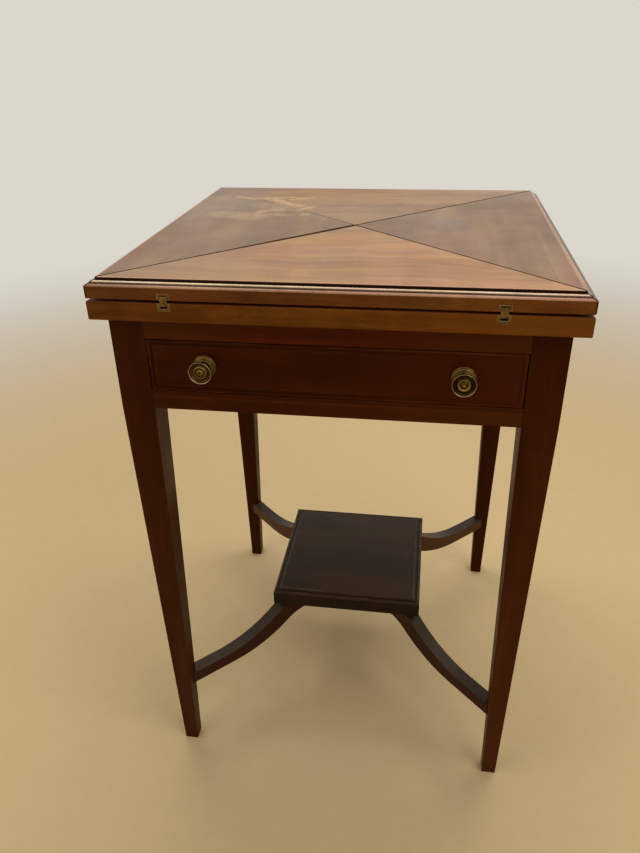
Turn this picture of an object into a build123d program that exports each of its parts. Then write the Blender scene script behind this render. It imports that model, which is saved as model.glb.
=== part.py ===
from build123d import *
import math
import os

# Envelope card table, closed. The origin is on the floor under the middle of the top,
# +Z is up and -Y is the drawer's side. Sizes are in millimetres, angles in degrees.

# Top: the board, the flaps on it and the gap between them
top_side = 530.0
board_running_gap = 0.3
opened_flap_gap = 0.4
fold_gap = 2.6
flap_face = 13.9
flap_seam = 0.8
swing_round = 1.5
board_lower_round = 2.0

# Moulding on the flap's outer edge, from the upright face inwards: a thumb, a step up to
# a bead, the bead's fall to a quirk, and the wall of the raised field
thumb_width = 4.8
thumb_rise = 1.8
step_rise = 1.2
roll_width = 5.2
roll_rise = 1.5
roll_crest_share = 0.5
quirk_drop = 1.4
field_wall = 3.8
arris_round = 0.8

# Baize and the wooden borders round it
baize_thickness = 1.2
baize_recess = 1.0
baize_side_gap = 0.3
hinge_border = 28.0
edge_border = 38.0

# Double-pin hinges, two on each side of the top
hinge_place = 177.5
pin_drop = 2.9
pin_inset = 3.1
pin_radius = 1.0
pin_fit = 0.05
pin_end_gap = 0.3
link_width = 7.8
link_round = 2.7
slot_side_gap = 0.3
slot_end_gap = 0.7
lug_width = 13.5
lug_depth = 9.0
board_lug_reach = 9.0
flap_lug_reach = 7.5
leaf_length = 26.0
leaf_thickness = 2.4
leaf_screw_places = (13.0, 21.0)
leaf_screw_radius = 1.3
leaf_screw_head = 2.6
leaf_screw_length = 11.0

# Screws
screw_fit = 0.05
head_slot_width_share = 0.26
head_slot_depth_share = 0.3

# Frame
frame_height = 707.8
frame_overhang = 15.0
leg_section = 40.0
leg_foot = 19.4
leg_foot_inset = 9.4
leg_arris = 0.7
frieze_height = 112.3
rail_thickness = 20.0
front_rail_depth = 32.0
front_top_rail_height = 25.1
front_bottom_rail_height = 23.2
tenon_thickness = 8.0
tenon_length = 22.0
tenon_shoulder = 4.0

# Swivel
bearer_width = 100.0
bearer_tenon_length = 10.0
bolt_radius = 6.0
bolt_fit = 0.05
bolt_head_radius = 18.0
bolt_head_thickness = 4.0
bolt_tail = 1.2
counterbore_radius = 17.0
counterbore_depth = 15.5
washer_radius = 14.0
washer_thickness = 2.0
washer_running_gap = 0.3
nut_thickness = 7.5
nut_across_flats = 19.0
stop_circle = 70.0
stop_turn = 45.0
peg_radius = 4.5
peg_seat = 13.0
peg_projection = 7.5
peg_side_gap = 0.5
peg_top_gap = 1.5

# Drawer
drawer_side_gap = 1.2
drawer_front_gap = 1.0
drawer_bottom_gap = 0.3
drawer_end_gap = 0.3
drawer_front_thickness = 20.0
drawer_side_thickness = 9.0
drawer_side_top_gap = 1.2
drawer_back_thickness = 8.0
drawer_back_top_gap = 3.0
drawer_back_setback = 18.0
drawer_back_housing = 3.0
drawer_bottom_thickness = 5.0
drawer_bottom_height = 6.0
drawer_groove = 4.0
dovetail_length = 12.0
dovetail_count = 3
dovetail_wide_share = 0.62
dovetail_narrow_share = 0.46
bead_width = 6.3
bead_depth = 8.0
bead_projection = 0.8
bead_round = 0.6
bead_line_inset = 4.2
bead_line_radius = 0.5

# Drawer runners
runner_height = 18.0
runner_reach = 16.0
guide_height = 20.0

# Knobs
knob_end_distance = 65.0
knob_rise = 1.2
knob_projection = 20.0
knob_radius = 13.4
knob_rim_radius = 12.7
knob_neck_radius = 5.1
knob_neck_length = 9.0
knob_shoulder = 16.0
rose_radius = 13.7
rose_rim_round = 1.3
rose_line_depth = 0.4
rose_line_width = 0.6
rose_dome_radius = 9.2
rose_dome_height = 2.5
rose_collar_radius = 7.6
rose_collar_height = 4.1
rose_fit = 0.05
knob_bolt_radius = 2.5
knob_bolt_head = 5.0
knob_bolt_head_thickness = 2.4
knob_bolt_reach = 11.5
knob_bore_gap = 0.6
# Turned face of the knob: each pair is a share of the rim's radius and of the projection
knob_face_shares = (
    (0.94, 0.960),
    (0.86, 0.890),
    (0.77, 0.860),
    (0.68, 0.870),
    (0.60, 0.930),
    (0.53, 0.960),
    (0.45, 0.945),
    (0.37, 0.910),
    (0.28, 0.945),
    (0.18, 0.980),
    (0.09, 0.965),
)

# Undershelf and its moulded edge
shelf_side = 229.6
shelf_underside = 179.4
shelf_face = 22.2
shelf_bead_width = 5.6
shelf_bead_rise = 1.9
shelf_bead_crest_share = 0.5
shelf_quirk_drop = 1.2
shelf_quirk_wall = 0.9
shelf_hollow_width = 4.6
shelf_hollow_rise = 2.9
shelf_lower_round = 1.0

# Arms: S-shaped in an upright plane on each diagonal, measured out from the middle
arm_width = 19.5
arm_inner_end = 55.0
arm_pad_depth = 27.4
arm_leg_level = 133.4
arm_leg_depth = 18.9
arm_top_level_from = 266.0
arm_top_hollow = 186.0
arm_top_round = 70.0
arm_top_slope = 33.2
arm_bottom_level_from = 243.2
arm_bottom_hollow = 191.0
arm_bottom_round = 66.0
arm_bottom_slope = 29.6
arm_tip = 1.0
arm_tenon_width = 8.0
arm_tenon_height = 11.0
arm_tenon_length = 10.0
arm_screw_places = (72.0, 98.0)
arm_screw_radius = 2.2
arm_screw_head = 4.4
arm_screw_length = 45.0

# Cutting solids run past the faces that they cut by this much
overrun = 5.0

# Levels and places that follow from the sizes above
top_half = top_side / 2
frame_half = top_half - frame_overhang
leg_inner = frame_half - leg_section
rail_inner = frame_half - rail_thickness
frieze_bottom = frame_height - frieze_height
board_bottom = frame_height + board_running_gap
roll_height = thumb_rise + step_rise + roll_rise
flap_thickness = flap_face + roll_height - quirk_drop + field_wall + arris_round
# The opened flaps lie level with the board and clear the frame, so they set its thickness
board_top = frame_height + opened_flap_gap + flap_thickness
flap_bottom = board_top + fold_gap
flap_top = flap_bottom + flap_thickness
seam_setback = flap_seam / math.sqrt(2)
baize_floor = board_top - baize_recess
opening_bottom = frieze_bottom + front_bottom_rail_height
opening_top = frame_height - front_top_rail_height
board_pin_level = board_top - pin_drop
flap_pin_level = flap_bottom + pin_drop
pin_line = top_half - pin_inset
bearer_bottom = opening_top
drawer_half = leg_inner - drawer_side_gap
drawer_inner_half = drawer_half - drawer_side_thickness
drawer_floor = opening_bottom + drawer_bottom_gap + drawer_bottom_height
knob_place = drawer_half - knob_end_distance
knob_height = (opening_bottom + opening_top) / 2 + knob_rise
shelf_quirk_rise = shelf_bead_rise - shelf_quirk_drop
shelf_hollow_foot = shelf_underside + shelf_face + shelf_quirk_rise + shelf_quirk_wall
shelf_top = shelf_hollow_foot + shelf_hollow_rise

# The four sides of the top, each a quarter turn on from the front
side_turns = {"front": 0, "right": 90, "back": 180, "left": 270}


def block(x_range, y_range, z_range):
    """A block between the limits given on each axis."""
    (x0, x1), (y0, y1), (z0, z1) = x_range, y_range, z_range
    return Pos((x0 + x1) / 2, (y0 + y1) / 2, (z0 + z1) / 2) * Box(
        x1 - x0, y1 - y0, z1 - z0
    )


def upright_rod(radius, x, y, z_range):
    """A round bar along Z."""
    z0, z1 = z_range
    return Pos(x, y, (z0 + z1) / 2) * Cylinder(radius, z1 - z0)


def cross_rod(radius, x_range, y, z):
    """A round bar along X."""
    x0, x1 = x_range
    return Pos((x0 + x1) / 2, y, z) * Rot(0, 90, 0) * Cylinder(radius, x1 - x0)


def turned(profile, x, z):
    """A turned piece on an axis along Y, from a face whose X is radius and Z is depth towards -Y."""
    piece = revolve(profile, axis=Axis.Z)
    return Pos(x, -frame_half, z) * Rot(90, 0, 0) * piece


def closed_face(edges):
    """A face inside a closed run of edges."""
    return make_face(edges)


def at(x, z):
    """A point on the XZ plane."""
    return (x, 0, z)


def screw(radius, head_radius, length, fit=0.0, slotted=True):
    """A countersunk screw along -Z, its head flush with Z = 0."""
    head_depth = head_radius - radius
    wide = head_radius + fit
    thin = radius + fit
    outline = Polyline(
        at(0, 0),
        at(wide, 0),
        at(thin, -head_depth),
        at(thin, -length + radius),
        at(0, -length),
        close=True,
    )
    body = revolve(make_face(outline), axis=Axis.Z)
    if slotted:
        slot_depth = head_depth * head_slot_depth_share * 2
        slot_width = head_radius * head_slot_width_share
        body -= Box(4 * head_radius, slot_width, slot_depth)
    return body


# Legs


def leg_place(taper):
    """Distance of the leg's middle from the table's middle, at the foot (1) or at the frieze (0)."""
    outer = frame_half - leg_foot_inset * taper
    side = leg_section + (leg_foot - leg_section) * taper
    return outer - side / 2


def leg_blank(x_sign, y_sign):
    """A square leg, straight through the frieze and tapered on all four faces below it."""
    knee_place = leg_place(0)
    foot_place = leg_place(1)
    knee = Pos(x_sign * knee_place, y_sign * knee_place, frieze_bottom) * RectangleRounded(
        leg_section, leg_section, leg_arris
    )
    foot = Pos(x_sign * foot_place, y_sign * foot_place, 0) * RectangleRounded(
        leg_foot, leg_foot, leg_arris
    )
    return loft([foot, knee], ruled=True) + extrude(knee, amount=frieze_height, dir=(0, 0, 1))


def leg_inner_corner(level):
    """Distance of the leg's inner corner from the table's middle, along the diagonal."""
    taper = 1 - level / frieze_bottom
    outer = frame_half - leg_foot_inset * taper
    side = leg_section + (leg_foot - leg_section) * taper
    return (outer - side) * math.sqrt(2)


# Rails


def rail_along_x(y_range, z_range):
    """A rail between two legs along X, with a tenon at each end."""
    y0, y1 = y_range
    z0, z1 = z_range
    body = block((-leg_inner, leg_inner), y_range, z_range)
    outer_y = y0 if abs(y0) > abs(y1) else y1
    inward = 1 if outer_y < 0 else -1
    middle_y = outer_y + inward * rail_thickness / 2
    reach = leg_inner + tenon_length
    tenons = block(
        (-reach, reach),
        (middle_y - tenon_thickness / 2, middle_y + tenon_thickness / 2),
        (z0 + tenon_shoulder, z1 - tenon_shoulder),
    )
    return body + tenons


def front_rails():
    """The rails above and below the drawer."""
    depth = (-frame_half, -frame_half + front_rail_depth)
    return {
        "front_top_rail": rail_along_x(depth, (opening_top, frame_height)),
        "front_bottom_rail": rail_along_x(depth, (frieze_bottom, opening_bottom)),
    }


def full_rails():
    """The two side rails and the back rail, as deep as the frieze."""
    levels = (frieze_bottom, frame_height)
    back = rail_along_x((rail_inner, frame_half), levels)
    return {
        "back_rail": back,
        "side_rail_left": Rot(0, 0, 90) * back,
        "side_rail_right": Rot(0, 0, -90) * back,
    }


def drawer_runner(x_sign):
    """A runner under the drawer's side, with the guide beside it, glued to the side rail."""
    levels = (opening_bottom - runner_height, opening_bottom)
    back_of_front_rail = -frame_half + front_rail_depth
    shelf = block(
        (leg_inner - runner_reach, leg_inner), (back_of_front_rail, rail_inner), levels
    )
    guide = block(
        (leg_inner, rail_inner),
        (-leg_inner, leg_inner),
        (levels[0], opening_bottom + guide_height),
    )
    runner = shelf + guide
    if x_sign < 0:
        runner = mirror(runner, about=Plane.YZ)
    return runner


# Undershelf and arms


def moulded_square(profile):
    """A square slab whose four edges all have the moulding of one profile on the XZ plane."""
    along_y = extrude(profile, amount=shelf_side, dir=(0, 1, 0), both=True)
    along_x = Rot(0, 0, 90) * along_y
    return along_y & along_x


def undershelf():
    """The shelf: an upright face, a bead, a quirk, a hollow and a raised field."""
    half = shelf_side / 2
    face_top = shelf_underside + shelf_face
    crest = at(half - shelf_bead_width * shelf_bead_crest_share, face_top + shelf_bead_rise)
    quirk = at(half - shelf_bead_width, face_top + shelf_quirk_rise)
    hollow = at(half - shelf_bead_width, shelf_hollow_foot)
    field = at(half - shelf_bead_width - shelf_hollow_width, shelf_top)
    low = shelf_underside
    edges = [
        Line(at(0, low), at(half - shelf_lower_round, low)),
        Line(at(half - shelf_lower_round, low), at(half, low + shelf_lower_round)),
        Line(at(half, low + shelf_lower_round), at(half, face_top)),
        ThreePointArc(at(half, face_top), crest, quirk),
        Line(quirk, hollow),
        TangentArc(hollow, field, tangent=(-1, 0, 0)),
        Line(field, at(0, shelf_top)),
        Line(at(0, shelf_top), at(0, low)),
    ]
    half_profile = closed_face(edges)
    return moulded_square(half_profile + mirror(half_profile, about=Plane.YZ))


def tangent_end_arc(start, end, direction):
    """An arc that meets its end point in the direction given."""
    backward = [-part for part in direction]
    return TangentArc(end, start, tangent=backward)


def cyma(level_from, levels, hollow, round_radius, steepest):
    """Points of an S-curve, level at both ends: where each arc and the straight between them end."""
    outer_level, inner_level = levels
    slope = math.radians(steepest)
    drop_per_radius = 1 - math.cos(slope)
    straight_drop = inner_level - outer_level - (hollow + round_radius) * drop_per_radius
    straight = straight_drop / math.sin(slope)
    hollow_end = (
        level_from - hollow * math.sin(slope),
        outer_level + hollow * drop_per_radius,
    )
    round_start = (
        hollow_end[0] - straight * math.cos(slope),
        hollow_end[1] + straight_drop,
    )
    round_end = (round_start[0] - round_radius * math.sin(slope), inner_level)
    return (level_from, outer_level), hollow_end, round_start, round_end


def arm_profile():
    """The arm seen from its side, from under the shelf out to the leg."""
    end = leg_inner_corner(arm_leg_level) + arm_width / 2 - arm_tip
    top_levels = (arm_leg_level, shelf_underside)
    top = cyma(
        arm_top_level_from, top_levels, arm_top_hollow, arm_top_round, arm_top_slope
    )
    low_level = arm_leg_level - arm_leg_depth
    pad_level = shelf_underside - arm_pad_depth
    low_levels = (low_level, pad_level)
    low = cyma(
        arm_bottom_level_from, low_levels, arm_bottom_hollow, arm_bottom_round, arm_bottom_slope
    )
    edges = [Line(at(arm_inner_end, shelf_underside), at(*top[3]))]
    edges.append(TangentArc(at(*top[3]), at(*top[2]), tangent=(1, 0, 0)))
    edges.append(Line(at(*top[2]), at(*top[1])))
    edges.append(tangent_end_arc(at(*top[1]), at(*top[0]), (1, 0, 0)))
    edges.append(Line(at(*top[0]), at(end, arm_leg_level)))
    edges.append(Line(at(end, arm_leg_level), at(end, low_level)))
    edges.append(Line(at(end, low_level), at(*low[0])))
    edges.append(TangentArc(at(*low[0]), at(*low[1]), tangent=(-1, 0, 0)))
    edges.append(Line(at(*low[1]), at(*low[2])))
    edges.append(tangent_end_arc(at(*low[2]), at(*low[3]), (-1, 0, 0)))
    edges.append(Line(at(*low[3]), at(arm_inner_end, pad_level)))
    edges.append(Line(at(arm_inner_end, pad_level), at(arm_inner_end, shelf_underside)))
    return closed_face(edges)


def arm_tenon():
    """The stub on the arm's outer end that enters the leg's inner corner."""
    middle = arm_leg_level - arm_leg_depth / 2
    start = leg_inner_corner(arm_leg_level) - arm_width / 2
    return block(
        (start, leg_inner_corner(arm_leg_level) + arm_tenon_length),
        (-arm_tenon_width / 2, arm_tenon_width / 2),
        (middle - arm_tenon_height / 2, middle + arm_tenon_height / 2),
    )


def arm_screws(fit=0.0, slotted=True):
    """The screws of one arm, driven up into the shelf."""
    pad_level = shelf_underside - arm_pad_depth
    one = Rot(180, 0, 0) * screw(
        arm_screw_radius, arm_screw_head, arm_screw_length, fit, slotted
    )
    return [Pos(place, 0, pad_level) * one for place in arm_screw_places]


# Swivel


def stop_groove():
    """The arc in the board's underside that the stop peg runs in."""
    width = 2 * (peg_radius + peg_side_gap)
    arc = CenterArc((0, 0), stop_circle, 90 - stop_turn, stop_turn)
    depth = peg_projection + peg_top_gap
    return extrude(Pos(0, 0, frame_height) * SlotArc(arc, width), amount=depth)


def stop_peg(fit=0.0):
    """The peg that ends the top's turn, standing up from the bearer."""
    levels = (frame_height - peg_seat, frame_height + peg_projection)
    return upright_rod(peg_radius + fit, 0, stop_circle, levels)


def swivel_bearer():
    """The bar from the front rail to the back rail that the top turns on, tenoned into both."""
    front = -frame_half + front_rail_depth
    half = bearer_width / 2
    bar = block((-half, half), (front, rail_inner), (bearer_bottom, frame_height))
    bar += block(
        (-half + tenon_shoulder, half - tenon_shoulder),
        (front - bearer_tenon_length, rail_inner + bearer_tenon_length),
        (bearer_bottom + tenon_shoulder, frame_height - tenon_shoulder),
    )
    bar -= upright_rod(
        bolt_radius + bolt_fit, 0, 0, (bearer_bottom - overrun, frame_height + overrun)
    )
    bar -= upright_rod(
        counterbore_radius, 0, 0, (bearer_bottom - overrun, bearer_bottom + counterbore_depth)
    )
    return bar - stop_peg(fit=screw_fit)


def swivel_hardware():
    """The pivot bolt under the baize, and its washer and nut under the bearer."""
    washer_top = bearer_bottom + counterbore_depth - washer_running_gap
    nut_top = washer_top - washer_thickness
    nut_bottom = nut_top - nut_thickness
    bolt = upright_rod(bolt_radius, 0, 0, (nut_bottom - bolt_tail, baize_floor))
    bolt += upright_rod(
        bolt_head_radius, 0, 0, (baize_floor - bolt_head_thickness, baize_floor)
    )
    hole = upright_rod(
        bolt_radius + bolt_fit, 0, 0, (nut_bottom - overrun, washer_top + overrun)
    )
    washer = upright_rod(washer_radius, 0, 0, (nut_top, washer_top)) - hole
    hexagon = RegularPolygon(nut_across_flats / 2, 6, major_radius=False)
    nut = extrude(Pos(0, 0, nut_bottom) * hexagon, amount=nut_thickness) - hole
    return bolt, washer, nut


# Hinges, all made for the front side and turned to the others


def hinge_leaf_space(place, on_board):
    """The room that a leaf takes: a plate in the playing face and a lug down the edge."""
    face = board_top if on_board else flap_bottom
    inward = -1 if on_board else 1
    reach = board_lug_reach if on_board else flap_lug_reach
    across = (place - lug_width / 2, place + lug_width / 2)
    plate_levels = sorted((face, face + inward * leaf_thickness))
    lug_levels = sorted((face, face + inward * reach))
    plate = block(across, (-top_half, -top_half + leaf_length), plate_levels)
    lug = block(across, (-top_half, -top_half + lug_depth), lug_levels)
    return plate + lug


def link_slot(place, on_board):
    """The slot in a lug that the link stands in, open to the edge and to the playing face."""
    pin_level = board_pin_level if on_board else flap_pin_level
    inward = -1 if on_board else 1
    reach = link_round + slot_end_gap
    half = link_width / 2 + slot_side_gap
    levels = sorted((pin_level + inward * reach, pin_level - inward * (pin_drop + overrun)))
    return block(
        (place - half, place + half), (-top_half - overrun, -pin_line + reach), levels
    )


def leaf_screws(place, on_board, fit=0.0, slotted=True):
    """The countersunk screws of one leaf."""
    one = screw(leaf_screw_radius, leaf_screw_head, leaf_screw_length, fit, slotted)
    level = board_top if on_board else flap_bottom
    turn = 0 if on_board else 180
    return [
        Pos(place, -top_half + inward, level) * Rot(turn, 0, 0) * one
        for inward in leaf_screw_places
    ]


def hinge_leaf(place, on_board, carrier):
    """A brass leaf let into the board or the flap, rounded at the fold as its carrier is."""
    pin_level = board_pin_level if on_board else flap_pin_level
    leaf = hinge_leaf_space(place, on_board) & carrier
    leaf -= link_slot(place, on_board)
    half = lug_width / 2 + overrun
    leaf -= cross_rod(pin_radius + pin_fit, (place - half, place + half), -pin_line, pin_level)
    for hole in leaf_screws(place, on_board, fit=screw_fit, slotted=False):
        leaf -= hole
    return leaf


def hinge_link(place):
    """The link between the two pins, round at both ends."""
    span = flap_pin_level - board_pin_level
    half = link_width / 2
    across = (place - half, place + half)
    middle = block(
        across,
        (-pin_line - link_round, -pin_line + link_round),
        (board_pin_level, board_pin_level + span),
    )
    link = middle
    for level in (board_pin_level, flap_pin_level):
        link += cross_rod(link_round, across, -pin_line, level)
    for level in (board_pin_level, flap_pin_level):
        link -= cross_rod(
            pin_radius + pin_fit, (across[0] - overrun, across[1] + overrun), -pin_line, level
        )
    return link


def hinge_pins(place):
    """The two pins of one hinge."""
    half = lug_width / 2 - pin_end_gap
    return [
        cross_rod(pin_radius, (place - half, place + half), -pin_line, level)
        for level in (board_pin_level, flap_pin_level)
    ]


# Board and flaps


def board_blank():
    """The square board, eased along its edges."""
    board = block((-top_half, top_half), (-top_half, top_half), (board_bottom, board_top))
    levels = board.edges().filter_by(Axis.Z, reverse=True).group_by(Axis.Z)
    board = fillet(levels[0], board_lower_round)
    upper = board.edges().filter_by(Axis.Z, reverse=True).group_by(Axis.Z)[-1]
    return fillet(upper, swing_round)


def board_baize_area(grow=0.0):
    """The square of baize on the board."""
    side = 2 * (top_half - hinge_border + grow)
    return Rectangle(side, side)


def flap_triangle(setback, base_inset=0.0):
    """A triangle inside the front quarter of the top, its two short sides set back from the seams."""
    base = -top_half + base_inset
    back = setback * math.sqrt(2)
    half = -base - back
    return make_face(Polyline((-half, base), (half, base), (0, -back), close=True))


def flap_profile():
    """Section of the front flap on the YZ plane, with the moulding on its outer edge."""
    out = -top_half
    points = {"face": (out, flap_bottom + flap_face)}
    points["thumb"] = (out + thumb_width, points["face"][1] + thumb_rise)
    points["step"] = (points["thumb"][0], points["thumb"][1] + step_rise)
    crest_in = roll_width * roll_crest_share
    points["crest"] = (points["step"][0] + crest_in, points["step"][1] + roll_rise)
    points["quirk"] = (points["step"][0] + roll_width, points["crest"][1] - quirk_drop)
    points["wall"] = (points["quirk"][0], points["quirk"][1] + field_wall)
    points["arris"] = (points["wall"][0] + arris_round, flap_top)
    spot = {name: (0, y, z) for name, (y, z) in points.items()}
    low_edge = (0, out, flap_bottom + swing_round)
    low_face = (0, out + swing_round, flap_bottom)
    inward = (0, 1, 0)
    edges = [
        Line(low_edge, spot["face"]),
        tangent_end_arc(spot["face"], spot["thumb"], inward),
        Line(spot["thumb"], spot["step"]),
        ThreePointArc(spot["step"], spot["crest"], spot["quirk"]),
        Line(spot["quirk"], spot["wall"]),
        tangent_end_arc(spot["wall"], spot["arris"], inward),
        Line(spot["arris"], (0, 0, flap_top)),
        Line((0, 0, flap_top), (0, 0, flap_bottom)),
        Line((0, 0, flap_bottom), low_face),
        TangentArc(low_face, low_edge, tangent=(0, -1, 0)),
    ]
    return closed_face(edges)


def flap_blank():
    """The front flap before the baize and hinges are let in."""
    bar = extrude(flap_profile(), amount=top_half, dir=(1, 0, 0), both=True)
    area = Pos(0, 0, flap_bottom - overrun) * flap_triangle(flap_seam / 2)
    # The cut runs past the outer edge, which the profile alone shapes
    skirt = block(
        (-top_half + seam_setback, top_half - seam_setback),
        (-top_half - overrun, -top_half),
        (flap_bottom - overrun, flap_top + overrun),
    )
    prism = extrude(area, amount=flap_top - flap_bottom + 2 * overrun)
    return bar & (prism + skirt)


def baize_on_flap(grow=0.0):
    """The triangle of baize on the front flap's playing face."""
    return flap_triangle(edge_border + flap_seam / 2 - grow, hinge_border - grow)


def hinges_of_side():
    """The places of a side's two hinges along it."""
    return (-hinge_place, hinge_place)


def top_pieces():
    """The board, its baize, its hinge leaves and their screws."""
    blank = board_blank()
    board = blank - extrude(
        Pos(0, 0, baize_floor) * board_baize_area(), amount=baize_recess + overrun
    )
    board -= stop_groove()
    board -= upright_rod(bolt_radius + bolt_fit, 0, 0, (board_bottom - overrun, board_top))
    board -= upright_rod(
        bolt_head_radius, 0, 0, (baize_floor - bolt_head_thickness, board_top)
    )
    leaves = []
    screws = []
    for turn in side_turns.values():
        for place in hinges_of_side():
            spin = Rot(0, 0, turn)
            board -= spin * hinge_leaf_space(place, True)
            for hole in leaf_screws(place, True, fit=screw_fit, slotted=False):
                board -= spin * hole
            leaves.append(spin * hinge_leaf(place, True, blank))
            screws += [spin * piece for piece in leaf_screws(place, True)]
    baize = extrude(
        Pos(0, 0, baize_floor) * board_baize_area(-baize_side_gap), amount=baize_thickness
    )
    return board, baize, leaves, screws


def flap_pieces():
    """The front flap, its baize, its hinge leaves and their screws."""
    blank = flap_blank()
    flap = blank - extrude(
        Pos(0, 0, flap_bottom - overrun) * baize_on_flap(), amount=baize_recess + overrun
    )
    leaves = []
    screws = []
    for place in hinges_of_side():
        flap -= hinge_leaf_space(place, False)
        for hole in leaf_screws(place, False, fit=screw_fit, slotted=False):
            flap -= hole
        leaves.append(hinge_leaf(place, False, blank))
        screws += leaf_screws(place, False)
    baize_level = flap_bottom + baize_recess - baize_thickness
    baize = extrude(
        Pos(0, 0, baize_level) * baize_on_flap(-baize_side_gap), amount=baize_thickness
    )
    return flap, baize, leaves, screws


# Drawer


def bead_strips():
    """Four mitred strips of bead round the drawer front."""
    half = drawer_half
    low = opening_bottom + drawer_front_gap
    high = opening_top - drawer_front_gap
    front = -frame_half - bead_projection
    depth = bead_depth + bead_projection
    outer = ((-half, low), (half, low), (half, high), (-half, high))
    inner = (
        (-half + bead_width, low + bead_width),
        (half - bead_width, low + bead_width),
        (half - bead_width, high - bead_width),
        (-half + bead_width, high - bead_width),
    )
    strips = []
    for first in range(4):
        second = (first + 1) % 4
        corners = (outer[first], outer[second], inner[second], inner[first])
        outline = Polyline([(x, front, z) for x, z in corners], close=True)
        strip = extrude(make_face(outline), amount=depth, dir=(0, 1, 0))
        along = Axis.X if first % 2 == 0 else Axis.Z
        nose = strip.edges().filter_by(along).group_by(Axis.Y)[0]
        strips.append(fillet(nose, bead_round) - bead_lines())
    return strips


def bead_lines():
    """The fine hollow line that runs round the bead, as four round cutting bars."""
    half = drawer_half - bead_line_inset
    low = opening_bottom + drawer_front_gap + bead_line_inset
    high = opening_top - drawer_front_gap - bead_line_inset
    front = -frame_half - bead_projection
    bars = [cross_rod(bead_line_radius, (-half, half), front, level) for level in (low, high)]
    bars += [upright_rod(bead_line_radius, x, front, (low, high)) for x in (-half, half)]
    return bars


def dovetails(x_sign):
    """The tails on the front end of a drawer side, lapped by the drawer front."""
    low = opening_bottom + drawer_front_gap
    height = drawer_side_height()
    pitch = height / dovetail_count
    root = -frame_half + drawer_front_thickness
    tip = root - dovetail_length
    wide = pitch * dovetail_wide_share / 2
    narrow = pitch * dovetail_narrow_share / 2
    inner = x_sign * drawer_inner_half
    tails = []
    for index in range(dovetail_count):
        middle = low + pitch * (index + 1 / 2)
        corners = (
            (inner, root, middle - narrow),
            (inner, root, middle + narrow),
            (inner, tip, middle + wide),
            (inner, tip, middle - wide),
        )
        outline = make_face(Polyline(corners, close=True))
        tails.append(extrude(outline, amount=drawer_side_thickness, dir=(x_sign, 0, 0)))
    return tails


def drawer_side_height():
    """Height of the drawer's sides."""
    low = opening_bottom + drawer_front_gap
    return opening_top - drawer_front_gap - drawer_side_top_gap - low


def drawer_back_line():
    """Where the drawer back's rear face stands."""
    return rail_inner - drawer_end_gap - drawer_back_setback


def drawer_bottom_panel():
    """The drawer's bottom, grooved into the front and sides and run under the back."""
    reach = drawer_inner_half + drawer_groove
    front = -frame_half + drawer_front_thickness - drawer_groove
    return block(
        (-reach, reach),
        (front, drawer_back_line()),
        (drawer_floor, drawer_floor + drawer_bottom_thickness),
    )


def drawer_back():
    """The drawer's back, standing on the bottom and housed in the sides."""
    reach = drawer_inner_half + drawer_back_housing
    rear = drawer_back_line()
    return block(
        (-reach, reach),
        (rear - drawer_back_thickness, rear),
        (drawer_floor + drawer_bottom_thickness, opening_top - drawer_back_top_gap),
    )


def drawer_side(x_sign):
    """A drawer side, with its tails, the groove for the bottom and the housing for the back."""
    low = opening_bottom + drawer_bottom_gap
    top = opening_bottom + drawer_front_gap + drawer_side_height()
    across = sorted((x_sign * drawer_inner_half, x_sign * drawer_half))
    side = block(
        across,
        (-frame_half + drawer_front_thickness, rail_inner - drawer_end_gap),
        (low, top),
    )
    for tail in dovetails(x_sign):
        side += tail
    return side - drawer_bottom_panel() - drawer_back()


def drawer_front():
    """The drawer front, rebated for the bead, socketed for the tails and bored for the knobs."""
    low = opening_bottom + drawer_front_gap
    high = opening_top - drawer_front_gap
    back = -frame_half + drawer_front_thickness
    rebate = -frame_half + bead_depth
    front = block((-drawer_half, drawer_half), (rebate, back), (low, high))
    front += block(
        (-drawer_half + bead_width, drawer_half - bead_width),
        (-frame_half, rebate),
        (low + bead_width, high - bead_width),
    )
    for x_sign in (-1, 1):
        for tail in dovetails(x_sign):
            front -= tail
    for place in (-knob_place, knob_place):
        front -= knob_axis_hole(place)
    return front - drawer_bottom_panel()


# Knobs


def knob_axis_hole(place):
    """The hole through the drawer front for a knob's bolt."""
    outline = Rectangle(knob_bolt_radius + screw_fit, 2 * (drawer_front_thickness + overrun))
    face = Plane.XZ * Pos((knob_bolt_radius + screw_fit) / 2, 0) * outline
    return turned(face, place, knob_height)


def knob_profile():
    """Half section of the turned knob, neck first; X is radius and Z is projection."""
    radius = knob_radius
    rim = knob_rim_radius
    front = knob_projection
    edge_middle = (knob_shoulder + front) / 2
    bore = knob_bolt_radius + screw_fit
    bore_end = knob_bolt_reach + knob_bore_gap
    face_points = [at(rim, front)]
    face_points += [at(rim * across, front * depth) for across, depth in knob_face_shares]
    face_points.append(at(0, front * knob_face_shares[-1][1]))
    waist = at(knob_neck_radius, knob_neck_length)
    shoulder = at(radius * knob_rim_radius / knob_radius, knob_shoulder)
    edges = [
        Line(at(bore, 0), at(knob_neck_radius, 0)),
        Line(at(knob_neck_radius, 0), waist),
        TangentArc(waist, shoulder, tangent=(0, 0, 1)),
        ThreePointArc(shoulder, at(radius, edge_middle), at(rim, front)),
        Spline(face_points[0], *face_points[1:-1], face_points[-1]),
        Line(face_points[-1], at(0, bore_end)),
        Line(at(0, bore_end), at(bore, bore_end)),
        Line(at(bore, bore_end), at(bore, 0)),
    ]
    return closed_face(edges)


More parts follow.
